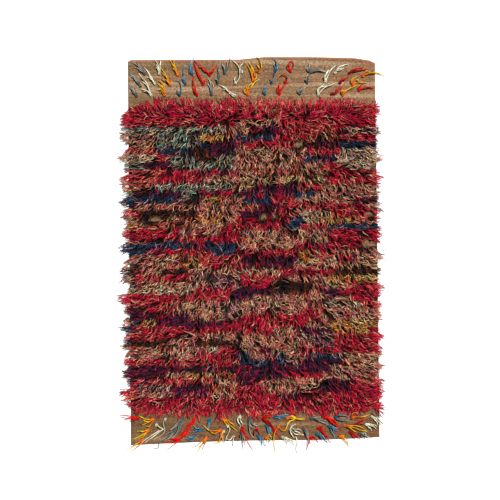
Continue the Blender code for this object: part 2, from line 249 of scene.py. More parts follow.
# Wools, as sRGB red, green and blue out of 255, and the blends that they are knotted in.
WOOL = {
    "crimson": (198, 0, 48),
    "maroon": (120, 6, 30),
    "rose": (212, 78, 74),
    "peach": (224, 142, 104),
    "sand": (186, 146, 108),
    "cream": (226, 206, 174),
    "mauve": (126, 80, 80),
    "sage": (90, 106, 92),
    "moss": (138, 122, 74),
    "navy": (14, 42, 64),
    "plum": (54, 12, 40),
    "bark": (40, 17, 10),
    "umber": (104, 42, 20),
    "rust": (196, 88, 44),
    "gold": (212, 142, 60),
}
BLENDS = {
    "red": "crimson " * 7 + "maroon maroon rose rose peach",
    "rosy": "crimson rose crimson rose crimson peach",
    "pinkish": "rose crimson rose peach",
    "dusty": "sand rose mauve peach sand rose mauve sand",
    "sandy": "sand sand peach mauve rose",
    "pale": "cream sand sand mauve",
    "sage": "sage sage sage sand mauve",
    "olive": "moss moss sand rose",
    "navy": "navy navy navy navy mauve",
    "plum": "plum plum plum maroon",
    "bark": "bark bark bark bark umber",
    "rusty": "rust rose sand bark",
    "golden": "gold gold sand rust moss",
    "grey": "mauve mauve sand plum",
    "wine": "maroon crimson plum mauve",
}
CAMEL = (147, 119, 89)
CAMEL_DARK = (128, 100, 71)
CAMEL_LIGHT = (173, 145, 114)
CAMEL_RED = (142, 104, 75)
HEM_PINK = (164, 108, 82)
# The near end is browner than the far end: its shade, and how far up the rug it reaches.
NEAR_SHADE = (0.71, 0.63, 0.58)
SHADE_FROM, SHADE_TO = -0.70, 0.60
# Painted shade of the knots under the pile: their dye's share, and how much it strays.
KNOT_PAINTED_SHADE = 0.035
KNOT_PAINTED_SHADE_SPREAD = 0.5

# Spots where the pile is parted and the cloth shows: middle and half size, in millimetres.
Spot = namedtuple("Spot", "x y half_x half_y")
BARE_SPOTS = (
    Spot(105, 677, 14, 8),
    Spot(219, 510, 27, 10),
    Spot(-474, 149, 34, 15),
    Spot(52, 163, 24, 8),
    Spot(107, 166, 16, 7),
    Spot(567, 174, 26, 14),
    Spot(556, 31, 44, 15),
    Spot(-587, -77, 22, 10),
)
# How far past a spot its cloth is clear of painted shade, yarns lie lower and yarns are left out.
SPOT_CLEAR, SPOT_CLEAR_EDGE = 1.3, (0.05, 0.30)
SPOT_LOWER = 2.4
SPOT_THINNING = 2.2

# Tufts on the kilim ends, in millimetres: their wool, where the knot is, how far from it each
# tail's tip lies, and how far the tails bow to their left. The tails of a tuft without a bow
# are among the loose yarns below.
Tuft = namedtuple("Tuft", "colour x y tip_x tip_y tip2_x tip2_y bow", defaults=[None])
FAR_TUFTS = (
    "grey -525 851 -67 59 -45 62 -6",
    "cream -455 851 -20 76 2 74 -4",
    "orange -366 846 -46 78 -28 78 -5",
    "blue -295 849 7 86 -5 53 6",
    "red -210 846 -89 74 31 56 -5",
    "grey -138 854 27 89 -12 56 -6",
    "cream -56 859 4 46 -8 40",
    "orange 28 859 -23 80 3 62",
    "blue 106 867 -13 63 10 35 -9",
    "red 180 864 2 48 -12 40",
    "grey 277 857 5 61 86 -2 14",
    "cream 394 857 73 47 50 20 4",
    "maroon 465 855 93 16 70 28 5",
    "orange 529 841 113 -2 80 12 11",
    "grey -546 793 -56 63 -35 55 -5",
    "cream -476 803 -57 81 -39 33 -6",
    "orange -402 798 -53 96 -43 28 -7",
    "blue -328 803 -10 94 -4 60 4",
    "red -243 801 -56 118 17 33 -4",
    "grey -172 806 6 109 -13 30 -7",
    "cream -86 806 -18 114 2 28",
    "orange 0 818 -25 94 18 30 -6",
    "blue 88 811 13 50 -14 28",
    "red 155 811 -39 4 -20 35",
    "grey 260 809 17 50 2 28 5",
    "cream 348 813 50 81 20 60 9",
    "maroon 418 808 51 36 35 18 4",
    "orange 481 797 73 5 24 43 14",
    "grey -565 745 -39 58 -14 53 -5",
    "cream -494 748 -67 110 -54 27 -9",
    "orange -428 748 -42 58 -42 28 -20",
    "blue -356 749 -23 71 -10 26",
    "red -272 749 -20 101 2 48 7",
    "grey -203 751 -20 86 5 61 -5",
    "cream -111 758 -63 47 35 -14 -6",
    "orange -28 751 58 76 5 53 12",
    "blue 57 753 18 53 6 40 4",
    "red 127 753 45 56 5 53 5",
    "grey 226 755 34 35 -6 26 5",
    "cream 313 751 83 56 40 52 14",
    "maroon 378 753 73 73 45 35 -9",
    "orange 432 749 87 56 24 27 7",
    "red 512 772 78 9 24 33 5",
)
NEAR_TUFTS = (
    "red -555 -814 -96 10 -76 -15 -5",
    "orange -485 -817 -72 13 -55 -31 10",
    "cream -426 -817 -66 -157 -35 -83",
    "grey -342 -812 -58 -66 -30 -60 5",
    "red -285 -812 -136 -166 -51 -45 10",
    "blue -212 -817 -23 -59 -8 -40 4",
    "orange -146 -817 74 -61 18 -33 5",
    "cream -64 -806 -5 -62 10 -50",
    "grey -21 -814 25 -99 43 -38 -5",
    "red 46 -810 89 -104 43 4 5",
    "blue 102 -809 86 6 43 -8 5",
    "orange 160 -814 92 -5 50 5 4",
    "grey 279 -812 89 -31 40 -8 6",
    "red 350 -808 79 -64 40 -45 7",
    "blue 397 -809 89 -15 70 6",
    "orange 479 -809 92 4 60 6",
    "cream 573 -805 56 -45 30 -40 5",
    "orange -505 -868 -77 -48 -60 -10 7",
    "cream -468 -845 -63 -91 -30 -60",
    "grey -377 -868 -79 -68 -50 -30 5",
    "red -312 -858 -92 -72 -50 -62 5",
    "blue -249 -868 -61 -15 -46 15 5",
    "orange -158 -870 -89 20 -43 -74 26",
    "cream -123 -850 30 -41 -9 -55",
    "grey -57 -880 8 -86 -12 -50 5",
    "red -50 -857 56 -110 10 -30 -10",
    "red 17 -865 23 -56 -5 -58",
    "blue 64 -850 28 -68 10 -45 5",
    "orange 122 -853 -23 -139 46 30",
    "cream 178 -868 31 -107 61 -23",
    "grey 241 -862 40 -79 33 -51 5",
    "red 314 -860 63 -78 36 -8 6",
    "blue 367 -850 33 -63 43 -26 5",
    "orange 441 -849 115 -29 60 -30 7",
    "maroon 494 -844 60 30 40 5 5",
    "cream 544 -842 55 -22 30 -30 5",
    "orange -534 -916 -79 -53 -62 -40 6",
    "red -347 -908 -86 -30 -60 -10 5",
    "blue -287 -903 -48 -15 -34 -2 5",
    "orange -227 -905 -71 -61 -48 -81 5",
    "cream -143 -876 6 -91 -5 -50",
    "blue 23 -898 41 -53 20 -50 5",
    "orange 61 -908 33 8 18 -25 5",
    "cream 140 -903 61 -38 30 -40 5",
    "red 266 -903 -13 -71 53 -28 5",
    "blue 307 -890 56 -43 30 -20 5",
    "orange 417 -899 53 -51 30 -20 5",
    "maroon 467 -882 56 -34 30 -32 5",
    "grey 513 -889 65 -19 30 -25 4",
)

# Single yarns that hook, loop or wave: their wool and the points they run through.
FAR_LOOSE = (
    "orange: -430 746, -430 772, -430 798, -444 814, -460 820, -472 806",
    "orange: -430 746, -440 762, -448 776, -444 796",
    "blue: -356 748, -346 782, -350 806, -362 818, -378 818",
    "blue: -356 748, -366 764, -366 782",
    "red: -210 846, -210 859, -194 861, -185 877",
    "cream: -84 807, -67 827, -65 857, -67 884, -84 903, -105 919",
    "cream: -84 807, -92 822, -86 839",
    "cream: -56 859, -66 880, -60 892, -48 904",
    "orange: 4 862, 37 868, 42 896, 31 920, 10 938",
    "orange: 6 836, 3 862, -8 884, -24 908",
    "orange: 34 868, 24 886, 16 898, 26 902",
    "blue: 104 860, 102 838, 98 822, 88 813, 75 829",
    "red: 181 862, 169 893, 175 911, 187 917, 197 907, 193 885, 183 864",
    "red: 181 862, 168 878, 157 890",
    "red: 157 811, 164 832, 157 845, 143 848, 129 841, 117 820",
)
NEAR_LOOSE = (
    "cream: -420 -814, -440 -834, -432 -854, -424 -870, -432 -888, -461 -905, -493 -924",
    "cream: -472 -842, -450 -856, -428 -868",
    "cream: -434 -866, -455 -878, -478 -899, -502 -914, -530 -938",
    "cream: -454 -872, -492 -896, -521 -915, -546 -940",
    "grey: -420 -905, -444 -924, -461 -945, -450 -952, -472 -962, -490 -955",
    "grey: -340 -812, -362 -827, -380 -852, -404 -874",
    "grey: -352 -822, -360 -860, -370 -888, -389 -908, -422 -910",
    "cream: -121 -849, -111 -867, -121 -886, -130 -905, -135 -926",
    "cream: -146 -879, -155 -897, -146 -915, -138 -936",
    "cream: -132 -908, -118 -919, -107 -914, -100 -897, -86 -903",
    "cream: -96 -908, -98 -930, -101 -953",
    "cream: -63 -795, -78 -815, -72 -833, -60 -849, -72 -866",
    "cream: -66 -806, -62 -824, -52 -838, -56 -856",
    "red: 75 -803, 50 -800, 42 -812, 64 -831, 84 -861, 105 -885",
    "red: 2 -896, 4 -869, 16 -859, 28 -877, 33 -906",
    "orange: 122 -851, 131 -866, 143 -882, 160 -866, 165 -835, 178 -824, 215 -815, 250 -818",
    "orange: 122 -851, 105 -875, 98 -902, 101 -940, 103 -982",
    "cream: 205 -843, 184 -850, 176 -869, 186 -893, 201 -914",
    "cream: 183 -857, 198 -867, 215 -863, 238 -875",
    "cream: 188 -877, 205 -892, 225 -888, 246 -896",
    "cream: 198 -874, 212 -878, 228 -884",
    "cream: 205 -902, 215 -928, 207 -962, 211 -986",
    "cream: 138 -916, 147 -898, 159 -909, 180 -927",
    "blue: 393 -811, 410 -797, 441 -798, 468 -809",
    "blue: 393 -812, 406 -819, 436 -824, 466 -822",
    "orange: 481 -811, 474 -798, 486 -785, 504 -788, 503 -803",
    "orange: 483 -807, 504 -806, 528 -806, 568 -795",
    "grey: 572 -786, 596 -807, 610 -822, 631 -843",
)

# A tuft's wool at its knot and at its tips, as sRGB out of 255.
TUFT_WOOL = {
    "grey": ((66, 76, 76), (146, 146, 136)),
    "cream": ((190, 190, 160), (232, 226, 198)),
    "orange": ((228, 102, 0), (255, 196, 20)),
    "blue": ((26, 88, 116), (104, 138, 152)),
    "red": ((190, 0, 0), (240, 18, 6)),
    "maroon": ((134, 0, 10), (192, 28, 22)),
}
TUFT_SEED = 5
TAIL_POINTS = 13
ALONG_TAIL = np.linspace(0.0, 1.0, TAIL_POINTS)
TAIL_SIDES = 4
# Each tail has a yarn for every side given here; the first is as long as the tail.
FAR_TAIL_SIDES = (0.0, 0.8)
NEAR_TAIL_SIDES = (-0.6, 0.9)
SIDE_STRAY = 0.3
SHORTER_TAIL = (0.50, 0.95)
TAIL_YARN_RADIUS = (0.0026, 0.0034)
TAIL_TAPER, TAPER_POWER = 0.42, 1.6
TAIL_SPREAD = 0.0064
SPREAD_AT_KNOT = 0.35
TAIL_WAVER = 0.0030
TAIL_WAVES = (0.9, 1.9)
BOW_SPREAD = (0.6, 1.4)
# A tail arches over the cloth and comes down to it a little before its tip.
TAIL_ARCH = (0.005, 0.011)
TAIL_LANDING = 1.1
TAIL_CLEARANCE = 0.001
BESIDE_CLOTH = 0.004
SMOOTHING = (0.25, 0.5, 0.25)
TIP_SHADE_ZONE = (0.05, 0.80)
TAIL_DYE_MEAN, TAIL_DYE_SPREAD = -0.02, 0.24
# A knot is two short lobes of yarn, side by side.
KNOT_LENGTH = 0.017
KNOT_BEHIND, KNOT_AHEAD = 0.4, 0.6
KNOT_SPREAD, KNOT_BULGE = 0.0020, 0.6
KNOT_RADIUS, KNOT_TIP = 0.0034, 0.35
KNOT_LIFT, KNOT_HUMP = 0.0015, 0.0040
KNOT_DYE_SPREAD = 0.12
BRIGHTEST_TUFT = 0.95

# A painted highlight along the top of a yarn, and how fast it falls to painted shade down its sides.
PILE_PAINTED_RIDGE = (2.30, 3.4)
TUFT_PAINTED_RIDGE = (1.6, 1.0)
BRIGHTEST = 0.95
# Painted shade and highlight in stretches along a yarn, from its twist and crimp, as (noise,
# shade) stops, and the turns of its twist.
PILE_STRETCHES = ((0.38, 0.14), (0.62, 1.78))
TUFT_STRETCHES = ((0.36, 0.56), (0.64, 1.36))
PILE_TWISTS, TUFT_TWISTS = 12, 18
# Each yarn has a cell of the map: its margin, half the height of its root cap there, and how
# many noise cells go across and along it.
CELL_MARGIN = 0.04
CAP_ON_MAP = 0.05
STRETCHES_ACROSS, STRETCHES_ALONG = 0.9, 3.4
TWIST_SCALE = 0.628

# Materials: roughness and sheen, the fine patterns as sizes and stops, and their relief.
WOOL_ROUGHNESS, CLOTH_ROUGHNESS = 0.9, 0.92
WOOL_SHEEN, SHEEN_ROUGHNESS = 0.05, 0.5
WOOL_SPECULAR = 0.12
FLECK_SCALE = 420.0
FLECK_STOPS = ((0.30, 0.78), (0.70, 1.18))
STRIPE_STRETCH = 27.0
GRAIN_STRETCH = 0.7
SPECKLE_SCALE = 190.0
SPECKLE_STOPS = (
    (0.34, (0.40, 0.44, 0.40)),
    (0.50, (0.95, 0.92, 0.90)),
    (0.66, (1.50, 1.46, 1.42)),
)
WEFT_SCALE, WARP_SCALE = 96.0, 80.0
# Painted shade in the grooves between the weft's ribs: darker where its relief is low.
WEFT_GROOVE_SHADE = ((0.0, 0.86), (1.0, 1.06))
TWIST_BUMP, WEAVE_BUMP = 0.5, 0.6
BUMP_DEPTH = 0.0006

# Sockets of a colour mix node.
MIX_FACTOR, MIX_FIRST, MIX_SECOND = 0, 6, 7
MIX_RESULT = 2

# Floor, light from the upper right, and sky.
WHITE = (1.0, 1.0, 1.0, 1.0)
FLOOR_HALF = 40.0
FLOOR_DROP = 0.0004
FLOOR_WHITE = 0.93
FLOOR_ROUGHNESS = 0.9
FLOOR_GLOW = 0.55
SKY_STRENGTH = 0.10
KEY_STRENGTH = 4.5
KEY_WIDTH = 5.0
KEY_TURN = (-26.0, 24.0, 0.0)

# Camera: straight above, with this much of the floor across the frame.
FRAME_WIDTH = 2.4195
CAMERA_X = -0.016
LENS = 85.0
SENSOR = 36.0
FARTHEST_SEEN = 50.0


def linear(colour):
    """Linear red, green and blue of an sRGB colour out of 255."""
    value = np.asarray(colour, float) / 255
    return np.where(value <= 0.04045, value / 12.92, ((value + 0.055) / 1.055) ** 2.4)


def wool_table():
    """Linear colours of the wools, in their order."""
    return np.array([linear(colour) for colour in WOOL.values()])


def on_line(line, x):
    """Height at each x of a line through (x, height) points."""
    return np.interp(x, *zip(*line))


def selvedge_x(side, y):
    """x of the cloth's LEFT or RIGHT edge at each y."""
    (far_x, far_y), (near_x, near_y) = FAR_HEM[side], NEAR_HEM[side]
    return near_x + (far_x - near_x) * (y - near_y) / (far_y - near_y)


def past_cloth(x, y):
    """How far each point lies outside the cloth's outline, or 0 over the cloth."""
    sideways = np.maximum(selvedge_x(LEFT, y) - x, x - selvedge_x(RIGHT, y))
    endways = np.maximum(on_line(NEAR_HEM, x) - y, y - on_line(FAR_HEM, x))
    return np.maximum(np.maximum(sideways, endways), 0.0)


def ease(value, low, high):
    """0 below low, 1 above high, and a smooth ramp between them."""
    t = np.clip((value - low) / (high - low), 0.0, 1.0)
    return t * t * (3 - 2 * t)


def near(distance, full, none):
    """1 below the full distance, 0 above none, and a smooth ramp between them."""
    return ease(-distance, -none, -full)


def wandering(draw, longest, shortest, count=12):
    """A smooth random field over the floor, about 1 high and deep."""
    turn = draw.uniform(0, 2 * math.pi, count)
    pitch = draw.uniform(shortest, longest, count)
    phase = draw.uniform(0, 2 * math.pi, count)
    push_x, push_y = 2 * math.pi * np.cos(turn) / pitch, 2 * math.pi * np.sin(turn) / pitch

    def field(x, y):
        flat_x, flat_y = np.asarray(x)[..., None], np.asarray(y)[..., None]
        return np.sin(flat_x * push_x + flat_y * push_y + phase).sum(-1) * math.sqrt(2 / count)

    return field


def unit(vectors):
    """The vectors at length 1."""
    return vectors / np.maximum(np.linalg.norm(vectors, axis=-1, keepdims=True), 1e-12)


def linked(name, data, material=None):
    """A new object of the scene with that mesh, light or camera, and its material if any."""
    if material:
        data.materials.append(material)
    thing = bpy.data.objects.new(name, data)
    bpy.context.scene.collection.objects.link(thing)
    return thing


def ring_angles(sides):
    """Angles of a ring's corners from the level, the first of them straight up."""
    return math.pi / 2 + np.arange(sides) * 2 * math.pi / sides


def rings_round(points, radii, sides):
    """Corners of the rings round each yarn: one ring a point, but for the last."""
    along = unit(np.gradient(points, axis=1))
    flat = points[:, -1] - points[:, 0]
    across = unit(np.stack([-flat[:, 1], flat[:, 0], np.zeros(len(flat))], 1) + 1e-9)
    rings = []
    for k in range(points.shape[1] - 1):
        run = along[:, k]
        across = unit(across - run * (across * run).sum(1, keepdims=True))
        over = np.cross(run, across)
        ring = [
            points[:, k] + radii[:, k, None] * (math.cos(a) * across + math.sin(a) * over)
            for a in ring_angles(sides)
        ]
        rings.append(np.stack(ring, 1))
    return np.stack(rings, 1)


def yarn_faces(rings, sides):
    """Vertex numbers and map places of one yarn's faces: quads, tip triangles, root cap."""
    corners, places, counts = [], [], []
    for k in range(rings - 1):
        low, high = k / rings, (k + 1) / rings
        for j in range(sides):
            i = (j + 1) % sides
            left, right = j / sides, (j + 1) / sides
            corners += [k * sides + j, k * sides + i, (k + 1) * sides + i, (k + 1) * sides + j]
            places += [(left, low), (right, low), (right, high), (left, high)]
            counts.append(4)
    last, tip = (rings - 1) * sides, rings * sides
    low = (rings - 1) / rings
    for j in range(sides):
        corners += [last + j, last + (j + 1) % sides, tip]
        places += [(j / sides, low), ((j + 1) / sides, low), ((j + 0.5) / sides, 1.0)]
        counts.append(3)
    corners += list(range(sides - 1, -1, -1))
    for j in range(sides):
        turn = 2 * math.pi * j / sides
        places.append((0.5 + 0.5 * math.cos(turn), CAP_ON_MAP + CAP_ON_MAP * math.sin(turn)))
    counts.append(sides)
    return np.array(corners), np.array(places), np.array(counts)


def painted_yarn_tints(colours, sides, painted_ridge):
    """Colour of each yarn's corners: a painted highlight along its top and painted shade down its
    sides.
    """
    painted_round_shade = painted_ridge[0] * ((1 + np.sin(ring_angles(sides))) / 2) ** painted_ridge[1]
    rings = colours.shape[1] - 1
    body = np.repeat(colours[:, :-1], sides, 1) * np.tile(painted_round_shade, rings)[:, None]
    painted_tints = np.concatenate([body, colours[:, -1:]], 1)
    painted_tints /= np.maximum(painted_tints.max(2, keepdims=True) / BRIGHTEST, 1.0)
    return np.concatenate([painted_tints, np.ones((*painted_tints.shape[:2], 1))], 2)


def yarn_object(name, points, radii, colours, sides, painted_ridge, material):
    """One mesh of closed tapering yarns. Each has a cell of its own on the map."""
    count, rings = len(points), points.shape[1] - 1
    body = rings_round(points, radii, sides).reshape(count, rings * sides, 3)
    vertices = np.concatenate([body, points[:, -1:]], 1)
    corners, places, counts = yarn_faces(rings, sides)
    each, number = vertices.shape[1], np.arange(count)
    all_corners = (corners[None] + each * number[:, None]).ravel()
    starts = np.concatenate([[0], np.cumsum(counts)[:-1]])
    all_starts = (starts[None] + len(corners) * number[:, None]).ravel()
    across = math.ceil(math.sqrt(count))
    cell = np.stack([number % across, number // across], 1)
    inset = CELL_MARGIN + (1 - 2 * CELL_MARGIN) * places
    on_map = (cell[:, None] + inset[None]) / across

    mesh = bpy.data.meshes.new(name)
    mesh.vertices.add(count * each)
    mesh.vertices.foreach_set("co", vertices.astype(np.float32).ravel())
    mesh.loops.add(len(all_corners))
    mesh.loops.foreach_set("vertex_index", all_corners.astype(np.int32))
    mesh.polygons.add(len(all_starts))
    mesh.polygons.foreach_set("loop_start", all_starts.astype(np.int32))
    mesh.update(calc_edges=True)
    mesh.polygons.foreach_set("use_smooth", np.ones(len(all_starts), bool))
    layer = mesh.uv_layers.new(name="OFBake")
    layer.uv.foreach_set("vector", on_map.astype(np.float32).ravel())
    # Colour attribute: each yarn's dye with its painted light, highlight and shade.
    painted_tint = mesh.color_attributes.new("wool_with_painted_shade", "FLOAT_COLOR", "POINT")
    painted_tints = painted_yarn_tints(colours, sides, painted_ridge)
    painted_tint.data.foreach_set("color", painted_tints.astype(np.float32).ravel())
    return linked(name, mesh, material)


def fill(tree, node, inputs):
    """Gives sockets of the node their values, or links them to other nodes' outputs."""
    for socket, value in inputs.items():
        if isinstance(value, bpy.types.NodeSocket):
            tree.links.new(value, node.inputs[socket])
        else:
            node.inputs[socket].default_value = value


def new_material(name, roughness, sheen):
    """A new material, its node tree and its shader."""
    material = bpy.data.materials.new(name)
    material.use_nodes = True
    tree = material.node_tree
    shader = tree.nodes["Principled BSDF"]
    fill(tree, shader, {"Roughness": roughness, "Specular IOR Level": WOOL_SPECULAR})
    fill(tree, shader, {"Sheen Weight": sheen, "Sheen Roughness": SHEEN_ROUGHNESS})
    return material, tree, shader


def add_node(tree, kind, inputs, **settings):
    """A new node with these settings and inputs."""
    node = tree.nodes.new(kind)
    for key, value in settings.items():
        setattr(node, key, value)
    fill(tree, node, inputs)
    return node


def mixed(tree, factor, first, second, blend="MIX"):
    """Output of a colour mix of a socket with a second one or a colour."""
    if not isinstance(second, bpy.types.NodeSocket):
        second = (*second, 1.0)
    inputs = {MIX_FACTOR: factor, MIX_FIRST: first, MIX_SECOND: second}
    node = add_node(tree, "ShaderNodeMix", inputs, data_type="RGBA", blend_type=blend)
    return node.outputs[MIX_RESULT]


def ramp(tree, source, stops):
    """A colour ramp over a socket, from (position, colour or grey shade) stops."""
    node = tree.nodes.new("ShaderNodeValToRGB")
    elements = node.color_ramp.elements
    while len(elements) < len(stops):
        elements.new(0.5)
    for element, (place, colour) in zip(elements, stops):
        element.position = place
        element.color = (*np.broadcast_to(colour, 3), 1.0)
    tree.links.new(source, node.inputs["Fac"])
    return node.outputs["Color"]


def noise(tree, vector, scale, detail, **more):
    """Height of a noise over these places."""
    inputs = {"Vector": vector, "Scale": scale, "Detail": detail, **more}
    return add_node(tree, "ShaderNodeTexNoise", inputs).outputs["Fac"]


def scaled(tree, vector, scale):
    """These places, scaled along each axis."""
    return add_node(tree, "ShaderNodeMapping", {"Vector": vector, "Scale": scale}).outputs["Vector"]


def ripples(tree, vector, direction, scale, **more):
    """Height of waves that run in this direction."""
    inputs = {"Vector": vector, "Scale": scale, **more}
    return add_node(tree, "ShaderNodeTexWave", inputs, bands_direction=direction).outputs["Fac"]


def finished(tree, shader, colour, height, strength):
    """Gives the shader this colour, and relief of this height."""
    relief = {"Height": height, "Strength": strength, "Distance": BUMP_DEPTH}
    bump = add_node(tree, "ShaderNodeBump", relief)
    fill(tree, shader, {"Base Color": colour, "Normal": bump.outputs["Normal"]})


def wool_material(name, cells, turns, stretches):
    """Dyed yarn: its colour and painted shade from the mesh, flecks, painted twist shade, twist
    bump.
    """
    material, tree, shader = new_material(name, WOOL_ROUGHNESS, WOOL_SHEEN)
    # The mesh colour holds the dye with its painted light, highlight and shade.
    painted_tint = add_node(tree, "ShaderNodeVertexColor", {}, layer_name="wool_with_painted_shade")
    place = add_node(tree, "ShaderNodeTexCoord", {}).outputs["Object"]
    flecks = ramp(tree, noise(tree, place, FLECK_SCALE, 2.0), FLECK_STOPS)
    colour = mixed(tree, 1.0, painted_tint.outputs["Color"], flecks, "MULTIPLY")
    on_map = add_node(tree, "ShaderNodeUVMap", {}, uv_map="OFBake").outputs["UV"]
    down_yarn = scaled(tree, on_map, (cells * STRETCHES_ACROSS, cells * STRETCHES_ALONG, 1.0))
    # Painted shade and highlight in stretches along each yarn.
    painted_twist_shade = ramp(tree, noise(tree, down_yarn, 1.0, 1.0), stretches)
    colour = mixed(tree, 1.0, colour, painted_twist_shade, "MULTIPLY")
    round_yarn = scaled(tree, on_map, (cells, cells * turns, 1.0))
    twist = ripples(tree, round_yarn, "DIAGONAL", TWIST_SCALE)
    finished(tree, shader, colour, twist, TWIST_BUMP)
    return material


def cloth_material():
    """Camel ground weave with faint weft stripes, a pink hem line, and painted shade under the pile.
    """
    material, tree, shader = new_material("kilim_weave", CLOTH_ROUGHNESS, WOOL_SHEEN)
    place = add_node(tree, "ShaderNodeTexCoord", {}).outputs["Object"]
    stripes = noise(tree, scaled(tree, place, (1.0, STRIPE_STRETCH, 1.0)), 1.0, 1.0, Roughness=0.5)
    stripe_stops = [
        (0.32, linear(CAMEL_DARK)),
        (0.44, linear(CAMEL)),
        (0.55, linear(CAMEL_RED)),
        (0.66, linear(CAMEL_LIGHT)),
    ]
    base = ramp(tree, stripes, stripe_stops)
    grain = scaled(tree, place, (GRAIN_STRETCH, 1.0, 1.0))
    speckle = noise(tree, grain, SPECKLE_SCALE, 3.0, Roughness=0.65)
    colour = mixed(tree, 1.0, base, ramp(tree, speckle, SPECKLE_STOPS), "MULTIPLY")
    weft = ripples(tree, place, "Y", WEFT_SCALE, Distortion=1.2, Detail=1.0)
    # Painted shade in the weft's grooves.
    colour = mixed(tree, 1.0, colour, ramp(tree, weft, WEFT_GROOVE_SHADE), "MULTIPLY")
    up_rug = add_node(tree, "ShaderNodeSeparateXYZ", {"Vector": place}).outputs["Y"]
    span = {"Value": up_rug, "From Min": SHADE_FROM, "From Max": SHADE_TO}
    far = add_node(tree, "ShaderNodeMapRange", span).outputs["Result"]
    ends = ramp(tree, far, [(0.0, NEAR_SHADE), (1.0, 1.0)])
    colour = mixed(tree, 1.0, colour, ends, "MULTIPLY")
    hem = add_node(tree, "ShaderNodeAttribute", {}, attribute_name="hem")
    colour = mixed(tree, hem.outputs["Fac"], colour, linear(HEM_PINK))
    # Painted shade under the pile: the knots' dye, darkened, over the cloth.
    painted_pile_shade = add_node(tree, "ShaderNodeAttribute", {}, attribute_name="under_pile_painted_shade")
    knots = add_node(tree, "ShaderNodeVertexColor", {}, layer_name="knots_in_painted_shade")
    colour = mixed(tree, painted_pile_shade.outputs["Fac"], colour, knots.outputs["Color"])
    warp = ripples(tree, place, "X", WARP_SCALE, Distortion=0.8)
    weave = add_node(tree, "ShaderNodeMath", {0: weft, 1: warp}, operation="ADD")
    finished(tree, shader, colour, weave.outputs["Value"], WEAVE_BUMP)
    return material


def in_bare_spot(x, y, margin=1.0):
    """How deep each point lies in a bare spot: 1 at its middle, 0 from its edge on."""
    deep = np.zeros(np.shape(x))
    for spot in BARE_SPOTS:
        across = (x - spot.x * MM) / (spot.half_x * MM * margin)
        along = (y - spot.y * MM) / (spot.half_y * MM * margin)
        deep = np.maximum(deep, 1 - np.hypot(across, along))
    return np.maximum(deep, 0.0)


def knots_in_painted_shade(draw, x, y):
    """Colour of the knots that cover the cloth under the pile, darkened deep as painted shade."""
    x, y = x.ravel(), y.ravel()
    wool = wool_at(nearest_course(y, root_y), x, draw.uniform(0, 1, len(x)))
    shade = KNOT_PAINTED_SHADE * np.exp(draw.normal(0, KNOT_PAINTED_SHADE_SPREAD, len(x)))
    return np.column_stack([wool_table()[wool] * shade[:, None], np.ones(len(x))])


def closed_sheet(name, top):
    """A closed mesh from that grid of points down to the floor, and how many points its foot has."""
    rows, columns = top.shape[:2]
    top = top.reshape(-1, 3)
    number = np.arange(rows * columns).reshape(rows, columns)
    rim = np.concatenate([number[0], number[1:-1, -1], number[-1, ::-1], number[-2:0:-1, 0]])
    foot = top[rim] * (1.0, 1.0, 0.0)
    below = len(top) + np.arange(len(rim))
    after = np.roll(np.arange(len(rim)), -1)
    square = [number[:-1, :-1], number[:-1, 1:], number[1:, 1:], number[1:, :-1]]
    quads = np.stack(square, -1).reshape(-1, 4)
    wall = np.stack([rim, below, below[after], rim[after]], 1)
    faces = quads.tolist() + wall.tolist() + [below[::-1].tolist()]
    mesh = bpy.data.meshes.new(name)
    mesh.from_pydata(np.concatenate([top, foot]).tolist(), [], faces)
    mesh.polygons.foreach_set("use_smooth", np.arange(len(faces)) < len(quads))
    return mesh, len(rim)


